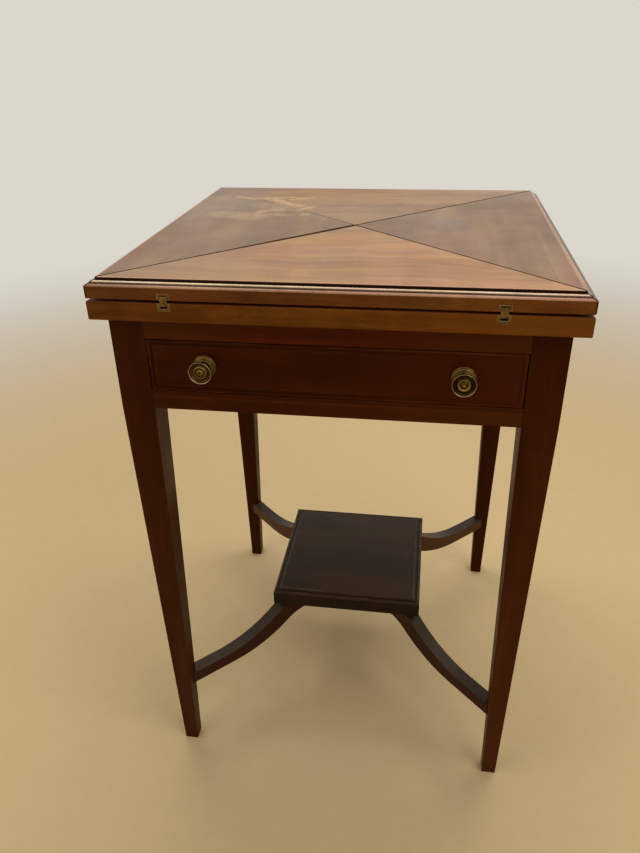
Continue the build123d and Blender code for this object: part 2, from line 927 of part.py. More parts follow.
def rose_profile():
    """Half section of the round plate behind the knob: a rim, a line, a dome and a collar."""
    inner = knob_neck_radius + rose_fit
    rim = at(rose_radius - rose_rim_round, rose_rim_round)
    line = at(rim[0] - rose_line_width / 2, rose_rim_round - rose_line_depth)
    dome_start = at(rim[0] - rose_line_width, rose_rim_round)
    dome_end = at(rose_dome_radius, rose_dome_height)
    collar = at(rose_collar_radius, rose_collar_height)
    edges = [
        Line(at(inner, 0), at(rose_radius, 0)),
        tangent_end_arc(at(rose_radius, 0), rim, (-1, 0, 0)),
        Line(rim, line),
        Line(line, dome_start),
        tangent_end_arc(dome_start, dome_end, (-1, 0, 0)),
        tangent_end_arc(dome_end, collar, (-1, 0, 0)),
        Line(collar, at(inner, rose_collar_height)),
        Line(at(inner, rose_collar_height), at(inner, 0)),
    ]
    return closed_face(edges)


def knob_bolt_profile():
    """Half section of the bolt that holds a knob, its head inside the drawer."""
    head_start = -drawer_front_thickness - knob_bolt_head_thickness
    outline = Polyline(
        at(0, knob_bolt_reach),
        at(knob_bolt_radius, knob_bolt_reach),
        at(knob_bolt_radius, -drawer_front_thickness),
        at(knob_bolt_head, -drawer_front_thickness),
        at(knob_bolt_head, head_start),
        at(0, head_start),
        close=True,
    )
    return make_face(outline)


# Everything by name


def base_nodes():
    """The frame with its runners, bearer, undershelf and arms."""
    corners = {
        "front_left": (-1, -1),
        "front_right": (1, -1),
        "back_left": (-1, 1),
        "back_right": (1, 1),
    }
    rails = {**front_rails(), **full_rails()}
    nodes = {}
    screws = []
    shelf = undershelf()
    for name, (x_sign, y_sign) in corners.items():
        spin = Rot(0, 0, math.degrees(math.atan2(y_sign, x_sign)))
        blank = leg_blank(x_sign, y_sign)
        leg = blank - spin * arm_tenon()
        for rail in rails.values():
            leg -= rail
        arm = spin * extrude(arm_profile(), amount=arm_width / 2, dir=(0, 1, 0), both=True)
        arm = arm - blank + spin * arm_tenon()
        for hole in arm_screws(fit=screw_fit, slotted=False):
            arm -= spin * hole
            shelf -= spin * hole
        screws += [spin * piece for piece in arm_screws()]
        nodes["leg_" + name] = leg
        nodes["shelf_arm_" + name] = arm
    bearer = swivel_bearer()
    rails["front_top_rail"] -= bearer
    rails["back_rail"] -= bearer
    nodes.update(rails)
    nodes["undershelf"] = shelf
    nodes["shelf_arm_screws"] = screws
    nodes["drawer_runner_left"] = drawer_runner(-1)
    nodes["drawer_runner_right"] = drawer_runner(1)
    nodes["swivel_bearer"] = bearer
    nodes["stop_peg"] = stop_peg()
    return nodes


def drawer_nodes():
    """The drawer and its knobs."""
    places = {"left": -knob_place, "right": knob_place}
    nodes = {
        "drawer_front": drawer_front(),
        "drawer_cockbead": bead_strips(),
        "drawer_side_left": drawer_side(-1),
        "drawer_side_right": drawer_side(1),
        "drawer_back": drawer_back(),
        "drawer_bottom": drawer_bottom_panel(),
        "knob_roses": [turned(rose_profile(), x, knob_height) for x in places.values()],
        "knob_bolts": [turned(knob_bolt_profile(), x, knob_height) for x in places.values()],
    }
    for name, x in places.items():
        nodes["knob_" + name] = turned(knob_profile(), x, knob_height)
    return nodes


def top_nodes():
    """The board, the hinges and the four flaps."""
    board, baize, leaves, screws = top_pieces()
    bolt, washer, nut = swivel_hardware()
    nodes = {
        "top_board": board,
        "top_baize": baize,
        "board_hinge_leaves": leaves,
        "board_hinge_screws": screws,
        "pivot_bolt": bolt,
        "pivot_washer": washer,
        "pivot_nut": nut,
    }
    flap, flap_baize, flap_leaves, flap_screws = flap_pieces()
    links = [hinge_link(place) for place in hinges_of_side()]
    pins = [pin for place in hinges_of_side() for pin in hinge_pins(place)]
    for name, turn in side_turns.items():
        spin = Rot(0, 0, turn)
        nodes["flap_" + name] = spin * flap
        nodes["flap_baize_" + name] = spin * flap_baize
        nodes["flap_hinge_leaves_" + name] = [spin * leaf for leaf in flap_leaves]
        nodes["flap_hinge_screws_" + name] = [spin * piece for piece in flap_screws]
        nodes["hinge_links_" + name] = [spin * link for link in links]
        nodes["hinge_pins_" + name] = [spin * pin for pin in pins]
    return nodes


def save(name, shape):
    """Write one named piece, or a group of like pieces, to its own file."""
    pieces = shape if isinstance(shape, list) else [shape]
    solids = [solid for piece in pieces for solid in piece.solids()]
    whole = solids[0] if len(solids) == 1 else Compound(children=solids)
    export_step(whole, os.path.join("parts", name + ".step"))


os.makedirs("parts", exist_ok=True)
for node_name, node_shape in {**base_nodes(), **drawer_nodes(), **top_nodes()}.items():
    save(node_name, node_shape)
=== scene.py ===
import math
import random

import bmesh
import bpy
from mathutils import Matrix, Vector, noise


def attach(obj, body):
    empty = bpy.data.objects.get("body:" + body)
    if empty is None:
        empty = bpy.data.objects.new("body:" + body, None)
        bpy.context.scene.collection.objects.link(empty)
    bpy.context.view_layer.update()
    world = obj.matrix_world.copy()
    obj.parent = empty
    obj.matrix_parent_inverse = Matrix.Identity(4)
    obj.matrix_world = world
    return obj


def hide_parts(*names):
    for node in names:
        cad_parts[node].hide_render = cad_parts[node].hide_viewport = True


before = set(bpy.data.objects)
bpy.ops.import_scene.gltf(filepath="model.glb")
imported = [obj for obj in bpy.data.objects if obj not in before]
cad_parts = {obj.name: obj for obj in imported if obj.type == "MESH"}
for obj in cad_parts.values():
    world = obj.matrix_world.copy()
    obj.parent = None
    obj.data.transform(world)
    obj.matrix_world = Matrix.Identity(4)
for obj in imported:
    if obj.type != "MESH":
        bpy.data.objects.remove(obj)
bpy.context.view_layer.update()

# Sizes and places on the table, in metres; the origin is on the floor under its middle
TOP_HALF = 0.265
BOARD_TOP = 0.7298
FLAP_BOTTOM = 0.7324
FLAP_TOP = 0.754
# The plain edge below a flap's moulding ends here
FACE_TOP = FLAP_BOTTOM + 0.0139
SHELF_HALF = 0.1148
SHELF_FACE_TOP = 0.2016
DRAWER_HALF = 0.2088
DRAWER_GAP = 0.0003
OPENING = (0.6187, 0.6827)
KNOB_PLACE = (0.1438, 0.6519)
BAIZE_RECESS = 0.001
HINGE_BORDER = 0.028
EDGE_BORDER = 0.038
SEAM_HALF = 0.0004
LEAF_GAP = 0.0003
# How far each side is turned from the front, in degrees
SIDES = {"front": 0, "right": 90, "back": 180, "left": 270}
CORNERS = ("front_left", "front_right", "back_left", "back_right")

RED_GLOSS = (1.0, 0.42, 0.2, 1.0)
DULL_GLOSS = (1.0, 0.82, 0.64, 1.0)
BACKDROP = (0.71, 0.68, 0.615, 1.0)
DIAGONAL = 0.7071

# In the tables below a line is its middle, half its width and its strength, and a fade is two
# places and the strength at each of them
LEG_RED_FADE = (0.45, 0.62, 0.0, 0.5)
LEG_FOOT_FADE = (0.05, 0.5, 0.6, 0.0)
TOP_RAIL_FADE = (0.06, 0.18, 0.0, 0.75)
LOW_RAIL_FADE = (0.02, 0.16, 0.0, 0.6)
RAIL_STREAK = (0.6118, 0.0014, 0.5)
RAIL_STREAK_FADE = (-0.02, 0.12, 1.0, 0.25)
RAIL_SHADE = (0.6152, 0.0024, 0.35)
DRAWER_FADE = (-0.06, 0.2, 0.0, 0.75)
BEAD_FOOT_HIGHLIGHT = (0.0068, 0.0013, 0.45)
BEAD_FOOT_HIGHLIGHT_FADE = (-0.05, 0.12, 1.0, 0.3)
BEAD_HOLLOW_SHADE = (0.0042, 0.0010, 0.15)
BEAD_ARRIS_HIGHLIGHT = (0.0010, 0.0012, 0.4)
SHELF_QUIRK = (0.0060, 0.0012, 0.9)
SHELF_CREST_HIGHLIGHT = (0.0026, 0.0016, 0.55)
SHELF_ARRIS_HIGHLIGHT = (0.0106, 0.0014, 0.6)
FRONT_LEFT_SHADE_FADE = (-0.22, -0.02, 0.5, 0.0)
RIGHT_LINE = (0.031, 0.0011, 0.3)
RIGHT_LINE_FADE = (-0.16, 0.06, 1.0, 0.15)
RIGHT_RED_FADE_IN = (0.012, 0.03, 0.4, 0.0)
RIGHT_RED_FADE_ALONG = (-0.20, -0.10, 1.0, 0.0)
FIELD_ARRIS_HIGHLIGHT = (0.0111, 0.0016, 0.5)
STEP_SHADE = (0.0047, 0.0008, 0.75)
QUIRK_SHADE_REACH = (0.0078, 0.0092)
BOARD_LIGHT_FADE = (0.02, 0.2, 0.0, 0.6)
SEAM_LIGHT_FADE = (0.0008, 0.0020, 0.26, 0.0)
SEAM_LIGHT_REACH = (0.16, 0.24)
# The worn patch on the shelf: where it runs from and to, half its width and its strength
SHELF_PATCH = ((-0.03, -0.085), (0.05, -0.09), 0.045, 0.4)
# A flap's thumb and crest: the middle of each and, for the thumb, half its width
THUMB = (0.0020, 0.0029)
CREST_MIDDLE = 0.0070

# A layer of figure in the wood: how much it is drawn out along the grain, its scale, detail and
# roughness, and the part of the noise's range that is used
BROAD_BANDS = (0.14, 15.0, 3.0, 0.55, 0.3, 0.7)
STREAKS = (0.04, 95.0, 4.0, 0.6, 0.32, 0.68)
FINE_STREAKS = (0.02, 520.0, 3.0, 0.6, 0.3, 0.7)
PORES = (0.035, 2300.0, 1.0, 0.4, 0.58, 0.72)
WORN_PATCHES = (0.5, 60.0, 3.0, 0.5, 0.35, 0.75)
GOLD_STREAKS = (0.16, 27.0, 3.0, 0.6, 0.46, 0.68)
PINK_STREAKS = (0.12, 34.0, 3.0, 0.6, 0.5, 0.7)
# Share of the figure that each kind of streak gives
STREAK_SHARE = 0.7
FINE_SHARE = 0.3
# How light a pore is, as a share of the dark tone
PORE_SHADE = 0.35
# The relief of the pores: how far the figure rises against them, depth and strength
FRAME_RELIEF = (0.25, 0.00006, 0.35)
TOP_RELIEF = (0.3, 0.00005, 0.3)
# How far a piece's grain may be shifted, so that no two pieces match
GRAIN_SHIFT = 3


def srgb(red, green, blue):
    """A colour written as 0 to 255 display values, as linear light."""
    def one(value):
        value /= 255
        return value / 12.92 if value <= 0.04045 else ((value + 0.055) / 1.055) ** 2.4
    return (one(red), one(green), one(blue), 1.0)


class Graph:
    """Builds one material's nodes; a value is a number or another node's output."""

    def __init__(self, name):
        self.material = bpy.data.materials.new(name)
        self.material.use_nodes = True
        self.tree = self.material.node_tree
        self.tree.nodes.clear()

    def node(self, kind, **settings):
        made = self.tree.nodes.new("ShaderNode" + kind)
        for key, value in settings.items():
            setattr(made, key, value)
        return made

    def put(self, socket, value):
        if isinstance(value, bpy.types.NodeSocket):
            self.tree.links.new(value, socket)
        else:
            socket.default_value = value

    def fill(self, made, values):
        for socket, value in zip(made.inputs, values):
            self.put(socket, value)
        return made.outputs

    def math(self, operation, *values, clamp=False):
        return self.fill(self.node("Math", operation=operation, use_clamp=clamp), values)[0]

    def add(self, first, second):
        return self.math("ADD", first, second)

    def less(self, first, second):
        return self.math("SUBTRACT", first, second)

    def times(self, first, second):
        return self.math("MULTIPLY", first, second)

    def absolute(self, value):
        return self.math("ABSOLUTE", value)

    def greatest(self, values):
        most = values[0]
        for value in values[1:]:
            most = self.math("MAXIMUM", most, value)
        return most

    def vector(self, operation, *values):
        outputs = self.fill(self.node("VectorMath", operation=operation), values)
        return outputs["Value" if operation in ("DOT_PRODUCT", "LENGTH") else "Vector"]

    def place(self):
        return self.node("TexCoord").outputs["Object"]

    def parts(self, vector):
        return self.fill(self.node("SeparateXYZ"), (vector,))[:3]

    def join(self, x, y, z):
        return self.fill(self.node("CombineXYZ"), (x, y, z))[0]

    def noise(self, vector, scale, detail=2.0, roughness=0.5, distortion=0.0):
        made = self.node("TexNoise")
        for name, value in (("Vector", vector), ("Scale", scale), ("Detail", detail),
                            ("Roughness", roughness), ("Distortion", distortion)):
            self.put(made.inputs[name], value)
        return made.outputs[0]

    def spread(self, value, low, high, to_low=0.0, to_high=1.0):
        """A value moved from one range to another, kept inside it."""
        made = self.node("MapRange", interpolation_type="SMOOTHSTEP")
        for name, number in (("Value", value), ("From Min", low), ("From Max", high),
                             ("To Min", to_low), ("To Max", to_high)):
            self.put(made.inputs[name], number)
        return made.outputs[0]

    def band(self, value, middle, half, strength=1.0):
        """A line at one value, fading out on both sides."""
        away = self.absolute(self.less(value, middle))
        return self.spread(away, half * 0.5, half, strength, 0.0)

    def mix(self, factor, first, second, blend="MIX"):
        made = self.node("Mix", data_type="RGBA", blend_type=blend)
        self.put(made.inputs[0], factor)
        self.put(made.inputs[6], first)
        self.put(made.inputs[7], second)
        return made.outputs[2]

    def bump(self, height, distance, strength=1.0, normal=None):
        made = self.node("Bump")
        self.put(made.inputs["Strength"], strength)
        self.put(made.inputs["Distance"], distance)
        self.put(made.inputs["Height"], height)
        if normal is not None:
            self.put(made.inputs["Normal"], normal)
        return made.outputs[0]

    def soft_normal(self, radius):
        made = self.node("Bevel", samples=4)
        self.put(made.inputs["Radius"], radius)
        return made.outputs[0]

    def stroke(self, spot, start, end, half, strength):
        """A soft mark along a straight run between two places."""
        run = Vector(end) - Vector(start)
        offset = self.vector("SUBTRACT", spot, (*start, 0.0))
        along = self.vector("DOT_PRODUCT", offset, (run.x, run.y, 0.0))
        share = self.math("DIVIDE", along, run.length_squared, clamp=True)
        reach = self.node("VectorMath", operation="SCALE")
        self.put(reach.inputs[0], (run.x, run.y, 0.0))
        self.put(reach.inputs["Scale"], share)
        away = self.vector("LENGTH", self.vector("SUBTRACT", offset, reach.outputs[0]))
        return self.spread(away, half * 0.35, half, strength, 0.0)

    def edge(self, soft):
        """Near 1 along the piece's outer edges and 0 on its faces."""
        flat = self.node("NewGeometry").outputs["Normal"]
        return self.math("SUBTRACT", 1.0, self.vector("DOT_PRODUCT", soft, flat), clamp=True)

    def finish(self, colour, roughness, normal=None, **constants):
        shader = self.node("BsdfPrincipled")
        self.put(shader.inputs["Base Color"], colour)
        self.put(shader.inputs["Roughness"], roughness)
        if normal is not None:
            self.put(shader.inputs["Normal"], normal)
        for name, value in constants.items():
            self.put(shader.inputs[name.replace("_", " ")], value)
        out = self.node("OutputMaterial")
        self.tree.links.new(shader.outputs[0], out.inputs[0])
        return self.material


def grain_shift(seed):
    picker = random.Random(seed)
    return tuple(picker.uniform(-GRAIN_SHIFT, GRAIN_SHIFT) for _ in range(3))


def grain_space(graph, axis, shift, waviness=0.04):
    """Coordinates whose X runs along the grain, which wanders a little from side to side."""
    x, y, z = graph.parts(graph.place())
    order = {"X": (x, y, z), "Y": (y, z, x), "Z": (z, x, y)}[axis]
    along, across, deep = graph.parts(graph.vector("ADD", graph.join(*order), shift))
    slow = stretched(graph, (along, across, deep), 2.2)
    wave = graph.less(graph.noise(slow, 3.0), 0.5)
    return along, graph.add(across, graph.times(wave, waviness)), deep


def stretched(graph, grain, ratio):
    along, across, deep = grain
    return graph.join(graph.times(along, ratio), across, deep)


def layer(graph, grain, ratio, scale, detail, roughness, low, high):
    pattern = graph.noise(stretched(graph, grain, ratio), scale, detail, roughness)
    return graph.spread(pattern, low, high)


def wood_colour(graph, grain, tones, figure=0.5, pores=0.35, mottle=0.06):
    """Mahogany: broad bands, streaks, short dark pores, and patches more golden or more red."""
    dark, middle, pale = tones[:3]
    level = graph.times(layer(graph, grain, *BROAD_BANDS), 1 - figure)
    for kind, share in ((STREAKS, STREAK_SHARE), (FINE_STREAKS, FINE_SHARE)):
        level = graph.add(level, graph.times(layer(graph, grain, *kind), figure * share))
    colour = graph.mix(graph.spread(level, 0.0, 0.55), dark, middle)
    colour = graph.mix(graph.spread(level, 0.45, 1.0), colour, pale)
    cross = graph.noise(stretched(graph, grain, 1.6), 14.0, distortion=0.6)
    shade = graph.spread(cross, 0.3, 0.7, 1 - mottle, 1 + mottle)
    hue = graph.noise(stretched(graph, grain, 0.3), 19.0)
    warm = graph.spread(hue, 0.35, 0.65, -mottle * 0.6, mottle * 0.6)
    patches = graph.join(shade, graph.add(shade, warm), graph.less(shade, warm))
    colour = graph.mix(1.0, colour, patches, "MULTIPLY")
    pore = layer(graph, grain, *PORES)
    hollow = tuple(part * PORE_SHADE for part in dark[:3]) + (1.0,)
    return graph.mix(graph.times(pore, pores), colour, hollow), level, pore


def smudged(graph, low, high, scale=9.0, detail=4.0, roughness=0.6):
    """A roughness that goes from one value to another in smudges."""
    smudge = graph.noise(graph.place(), scale, detail, roughness)
    return graph.spread(smudge, 0.3, 0.7, low, high)


def pored(graph, level, pore, soft, rise, depth, strength):
    """The wood's surface: its pores hollow, its paler figure a little raised."""
    return graph.bump(graph.less(graph.times(level, rise), pore), depth, strength, soft)


def dark_wood(name, axis, tones, seed, gloss=0.2, rough=0.34, wear=0.5, edge_radius=0.0009,
              figure=0.5, pores=0.35, mottle=0.1, tint=RED_GLOSS, extra=None):
    """Polished dark wood, paler where its arrises are worn; extra adds a piece's own marks."""
    graph = Graph(name)
    grain = grain_space(graph, axis, grain_shift(seed))
    colour, level, pore = wood_colour(graph, grain, tones, figure, pores, mottle)
    soft = graph.soft_normal(edge_radius)
    edge = graph.spread(graph.edge(soft), 0.02, 0.22)
    patchy = layer(graph, grain, *WORN_PATCHES)
    worn = graph.times(edge, graph.times(patchy, wear))
    colour = graph.mix(worn, colour, tones[3])
    if extra is not None:
        colour = extra(graph, colour, patchy)
    normal = pored(graph, level, pore, soft, *FRAME_RELIEF)
    return graph.finish(colour, smudged(graph, rough - 0.06, rough + 0.1), normal,
                        Specular_IOR_Level=gloss, Specular_Tint=tint)


# Each wood's dark, middle and pale tones, and the tone of its worn arrises
LEG_TONES = (srgb(44, 18, 4), srgb(56, 23, 4), srgb(70, 31, 7), srgb(132, 70, 26))
FRONT_LEG_TONES = (srgb(54, 21, 4), srgb(66, 29, 6), srgb(82, 39, 9), srgb(132, 70, 26))
RAIL_TONES = (srgb(48, 16, 2), srgb(64, 23, 4), srgb(80, 32, 7), srgb(124, 60, 22))
TOP_RAIL_TONES = (srgb(62, 18, 3), srgb(80, 26, 5), srgb(98, 37, 8), srgb(140, 72, 26))
DRAWER_TONES = (srgb(40, 11, 1), srgb(50, 15, 2), srgb(62, 21, 4), srgb(112, 50, 18))
SHELF_TONES = (srgb(38, 24, 14), srgb(50, 33, 20), srgb(62, 42, 26), srgb(96, 58, 34))
# The arms' grey tones are a painted sheen on their upper faces
ARM_SHEEN_TONES = (srgb(46, 36, 28), srgb(58, 46, 36), srgb(70, 56, 45), srgb(150, 114, 92))
EDGE_TONES = (srgb(66, 30, 3), srgb(90, 47, 5), srgb(112, 62, 11), srgb(150, 96, 40))
INSIDE_TONES = (srgb(92, 58, 30), srgb(122, 84, 48), srgb(146, 108, 66), srgb(150, 116, 76))


def dress(names, material):
    for name in names:
        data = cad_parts[name].data
        data.materials.clear()
        data.materials.append(material)


def leg_shade(low_tone):
    """Legs turn towards another brown at the floor, and redder beside the drawer."""
    def marks(graph, colour, _patchy):
        height = graph.parts(graph.place())[2]
        colour = graph.mix(graph.spread(height, *LEG_RED_FADE), colour, srgb(50, 13, 2))
        return graph.mix(graph.spread(height, *LEG_FOOT_FADE), colour, low_tone)
    return marks


def brown_ends(graph, colour, _patchy):
    """The rail over the drawer is browner towards its ends."""
    from_middle = graph.absolute(graph.parts(graph.place())[0])
    return graph.mix(graph.spread(from_middle, *TOP_RAIL_FADE), colour, srgb(74, 34, 5))


def rail_streaks(graph, colour, patchy):
    """A faint pale streak along the rail under the drawer, which is browner at its right end."""
    x, _, height = graph.parts(graph.place())
    colour = graph.mix(graph.spread(x, *LOW_RAIL_FADE), colour, srgb(70, 34, 5))
    streak = graph.times(graph.band(height, *RAIL_STREAK), patchy)
    streak = graph.times(streak, graph.spread(x, *RAIL_STREAK_FADE))
    colour = graph.mix(graph.band(height, *RAIL_SHADE), colour, srgb(40, 12, 2))
    return graph.mix(streak, colour, srgb(104, 58, 28))


def drawer_ground(graph, colour):
    """The drawer's front, paler at its right end; also how far a point is inside its edge."""
    x, _, height = graph.parts(graph.place())
    middle, half = (OPENING[0] + OPENING[1]) / 2, (OPENING[1] - OPENING[0]) / 2
    rise = graph.absolute(graph.less(height, middle))
    beside = graph.less(DRAWER_HALF, graph.absolute(x))
    inset = graph.math("MINIMUM", beside, graph.less(half - DRAWER_GAP, rise))
    return graph.mix(graph.spread(x, *DRAWER_FADE), colour, srgb(70, 25, 8)), inset, x


def drawer_marks(graph, colour, patchy):
    """A painted highlight along the bead's foot on the drawer's front, broken by wear patches and
    strongest on the left.
    """
    colour, inset, x = drawer_ground(graph, colour)
    line = graph.times(graph.band(inset, *BEAD_FOOT_HIGHLIGHT), graph.spread(x, *BEAD_FOOT_HIGHLIGHT_FADE))
    line = graph.times(line, graph.spread(patchy, 0.0, 0.7, 0.5, 1.0))
    return graph.mix(line, colour, srgb(104, 56, 30))


def bead_marks(graph, colour, patchy):
    """The cockbead's outer arris carries a faint painted highlight, broken by wear patches, and its
    hollow line a painted shade.
    """
    colour, inset, _ = drawer_ground(graph, colour)
    colour = graph.mix(graph.band(inset, *BEAD_HOLLOW_SHADE), colour, srgb(26, 6, 1))
    rubbed = graph.times(graph.band(inset, *BEAD_ARRIS_HIGHLIGHT), patchy)
    return graph.mix(rubbed, colour, srgb(112, 62, 34))


def shelf_marks(graph, colour, patchy):
    """The shelf's dark red face, a dark line in its quirk, and painted highlights on its bead's crest
    and field edge.
    """
    x, y, height = graph.parts(graph.place())
    inset = graph.less(SHELF_HALF, graph.greatest((graph.absolute(x), graph.absolute(y))))
    upper = graph.spread(height, SHELF_FACE_TOP - 0.0012, SHELF_FACE_TOP + 0.0002)
    face = graph.mix(graph.spread(patchy, 0.0, 1.0, 0.85, 1.0), colour, srgb(20, 5, 1))
    colour = graph.mix(upper, face, colour)
    quirk = graph.times(graph.band(inset, *SHELF_QUIRK), upper)
    colour = graph.mix(quirk, colour, srgb(16, 5, 2))
    # Painted highlights on the bead's crest and the field's arris, broken by wear patches
    crest = graph.times(graph.band(inset, *SHELF_CREST_HIGHLIGHT), upper)
    arris = graph.times(graph.band(inset, *SHELF_ARRIS_HIGHLIGHT), upper)
    rubbed = graph.times(graph.greatest((crest, arris)),
                         graph.spread(patchy, 0.1, 0.7, 0.15, 1.0))
    colour = graph.mix(rubbed, colour, srgb(104, 76, 58))
    # A faint reddish patch where the field is worn, towards the front
    patch = graph.stroke(graph.join(x, y, 0.0), *SHELF_PATCH)
    return graph.mix(graph.times(patch, upper), colour, srgb(66, 32, 16))


def arm_sheen(flank_tone):
    """The arms' flanks are red; their upper faces keep a grey tone that is a painted sheen."""
    def marks(graph, colour, _patchy):
        facing_up = graph.parts(graph.node("NewGeometry").outputs["Normal"])[2]
        flank = graph.spread(facing_up, 0.2, 0.5, 1.0, 0.0)
        return graph.mix(graph.times(flank, 0.95), colour, flank_tone)
    return marks


def dress_frame():
    """The dark frame, its drawer front, the shelf and its arms."""
    for seed, place in enumerate(CORNERS, 1):
        tones = FRONT_LEG_TONES if "front" in place else LEG_TONES
        # Each foot turns browner; the front right one's paler tone is painted light from the right
        low = srgb(78, 38, 9) if place == "front_right" else srgb(60, 29, 6)
        dress(["leg_" + place], dark_wood("mahogany_leg_" + place, "Z", tones, seed, gloss=0.1,
                                          rough=0.44, figure=0.4, extra=leg_shade(low)))
    rails = {
        "front_top_rail": ("X", TOP_RAIL_TONES, brown_ends),
        "front_bottom_rail": ("X", RAIL_TONES, rail_streaks),
        "back_rail": ("X", RAIL_TONES, None),
        "side_rail_left": ("Y", RAIL_TONES, None),
        "side_rail_right": ("Y", RAIL_TONES, None),
    }
    for seed, (name, (axis, tones, marks)) in enumerate(rails.items(), 5):
        dress([name], dark_wood("mahogany_" + name, axis, tones, seed, gloss=0.14, extra=marks))
    dress(["drawer_front"], dark_wood("mahogany_drawer_front", "X", DRAWER_TONES, seed=10, gloss=0.12,
                                      wear=0.2, figure=0.35, extra=drawer_marks))
    dress(["drawer_cockbead"], dark_wood("mahogany_cockbead", "X", DRAWER_TONES, seed=11, gloss=0.12,
                                         wear=0.15, edge_radius=0.0005, extra=bead_marks))
    dress(["undershelf"], dark_wood("mahogany_shelf", "X", SHELF_TONES, seed=12, gloss=0.24,
                                    rough=0.4, wear=0.2, figure=0.3, tint=DULL_GLOSS,
                                    extra=shelf_marks))
    for seed, place in enumerate(CORNERS, 13):
        flank = srgb(52, 17, 4) if "front" in place else srgb(72, 36, 8)
        dress(["shelf_arm_" + place], dark_wood("mahogany_arm_" + place, "Y", ARM_SHEEN_TONES, seed,
                                                gloss=0.18, wear=0.6, tint=DULL_GLOSS,
                                                extra=arm_sheen(flank)))


def dress_inside():
    """Plain inside woods: runners, bearer, drawer box and the stop peg."""
    grain_ways = {
        "swivel_bearer": "Y", "drawer_runner_left": "Y", "drawer_runner_right": "Y",
        "drawer_side_left": "Y", "drawer_side_right": "Y", "drawer_back": "X",
        "drawer_bottom": "X", "stop_peg": "Z",
    }
    for seed, (name, axis) in enumerate(grain_ways.items(), 60):
        dress([name], dark_wood("inside_" + name, axis, INSIDE_TONES, seed, gloss=0.2,
                                rough=0.62, wear=0.2, pores=0.2, tint=DULL_GLOSS))


FIELD_TONES = {
    "front": (srgb(134, 92, 58), srgb(160, 114, 74), srgb(184, 138, 94)),
    "right": (srgb(104, 75, 52), srgb(126, 94, 68), srgb(144, 110, 82)),
    "back": (srgb(116, 80, 50), srgb(140, 100, 64), srgb(162, 120, 78)),
    "left": (srgb(98, 70, 46), srgb(116, 84, 56), srgb(134, 100, 66)),
}
# How strong the figure of each field is, and how mottled the field
FIELD_FIGURE = {"front": (0.5, 0.09), "right": (0.25, 0.07), "back": (0.5, 0.09),
                "left": (0.25, 0.07)}
FLAP_SEEDS = {"front": 31, "right": 32, "back": 33, "left": 34}
PLAY_TONES = (srgb(74, 32, 14), srgb(98, 48, 22), srgb(120, 64, 30))
THUMB_HIGHLIGHT_TONES = (srgb(126, 88, 62), srgb(156, 116, 84), srgb(178, 138, 104))
CREST_HIGHLIGHT_TONES = (srgb(186, 158, 118), srgb(212, 186, 146), srgb(226, 204, 170))
# Figure, pores and mottle of the wood at the edges and on the playing side
EDGE_FIGURE = (0.6, 0.3, 0.1)
PLAY_FIGURE = (0.5, 0.3, 0.1)
# How strong the painted highlights on each side's moulding are: on its thumb, on its bead's crest,
# and half that crest's width
MOULD_HIGHLIGHTS = {
    "front": (0.8, 1.0, 0.0030),
    "right": (0.25, 0.55, 0.0013),
    "back": (0.4, 0.5, 0.0020),
    "left": (0.1, 0.35, 0.0013),
}
# Painted shade in the four seams, standing for the dark of their gaps: the signs of x and y there,
# half its width in the middle and towards the corner, how far out it is that narrow, and its strength
SEAM_SHADE = (
    (-1, -1, 0.0042, 0.0015, 0.4, 1.0),
    (1, 1, 0.0019, 0.0016, 0.4, 0.95),
    (1, -1, 0.0016, 0.0013, 0.4, 0.9),
    (-1, 1, 0.0010, 0.0002, 0.2, 0.5),
)
# Marks on a field: where each runs from and to, half its width and its strength
BLEACHED = (
    ((-0.202, 0.176), (-0.178, 0.164), 0.013, 0.8),
    ((-0.178, 0.164), (-0.146, 0.166), 0.011, 0.8),
    ((-0.146, 0.166), (-0.122, 0.138), 0.010, 0.9),
    ((-0.122, 0.136), (-0.095, 0.117), 0.012, 1.0),
    ((-0.144, 0.171), (-0.118, 0.177), 0.007, 0.9),
    ((-0.114, 0.162), (-0.086, 0.177), 0.009, 0.9),
    ((-0.088, 0.088), (-0.073, 0.111), 0.009, 1.0),
    ((-0.149, 0.064), (-0.142, 0.079), 0.007, 0.9),
    ((-0.142, 0.079), (-0.114, 0.094), 0.007, 0.8),
    ((-0.080, 0.058), (-0.076, 0.061), 0.008, 0.8),
    ((-0.196, 0.052), (-0.150, 0.042), 0.030, 0.55),
    ((-0.140, 0.058), (-0.100, 0.052), 0.012, 0.5),
    ((-0.150, 0.120), (-0.110, 0.100), 0.030, 0.3),
)
LEFT_HAZE = (
    ((-0.235, 0.23), (-0.185, 0.235), 0.05, 0.6),
    ((-0.205, 0.125), (-0.185, 0.125), 0.035, 0.5),
    ((-0.20, -0.13), (-0.14, -0.10), 0.05, 0.3),
    ((-0.225, 0.06), (-0.21, -0.12), 0.04, 0.25),
)
RIGHT_HAZE = (
    ((0.12, 0.0), (0.13, 0.02), 0.035, 0.5),
    ((0.17, 0.13), (0.20, 0.17), 0.05, 0.25),
)
# How far the bleached marks and the haze wander from a straight run
BLEACHED_SWAY = 0.016
HAZE_SWAY = 0.06
# The direction of the wall that shows in the deepest seam
SEAM_WALL = (0.0, -1.0, 0.0, 1.0)


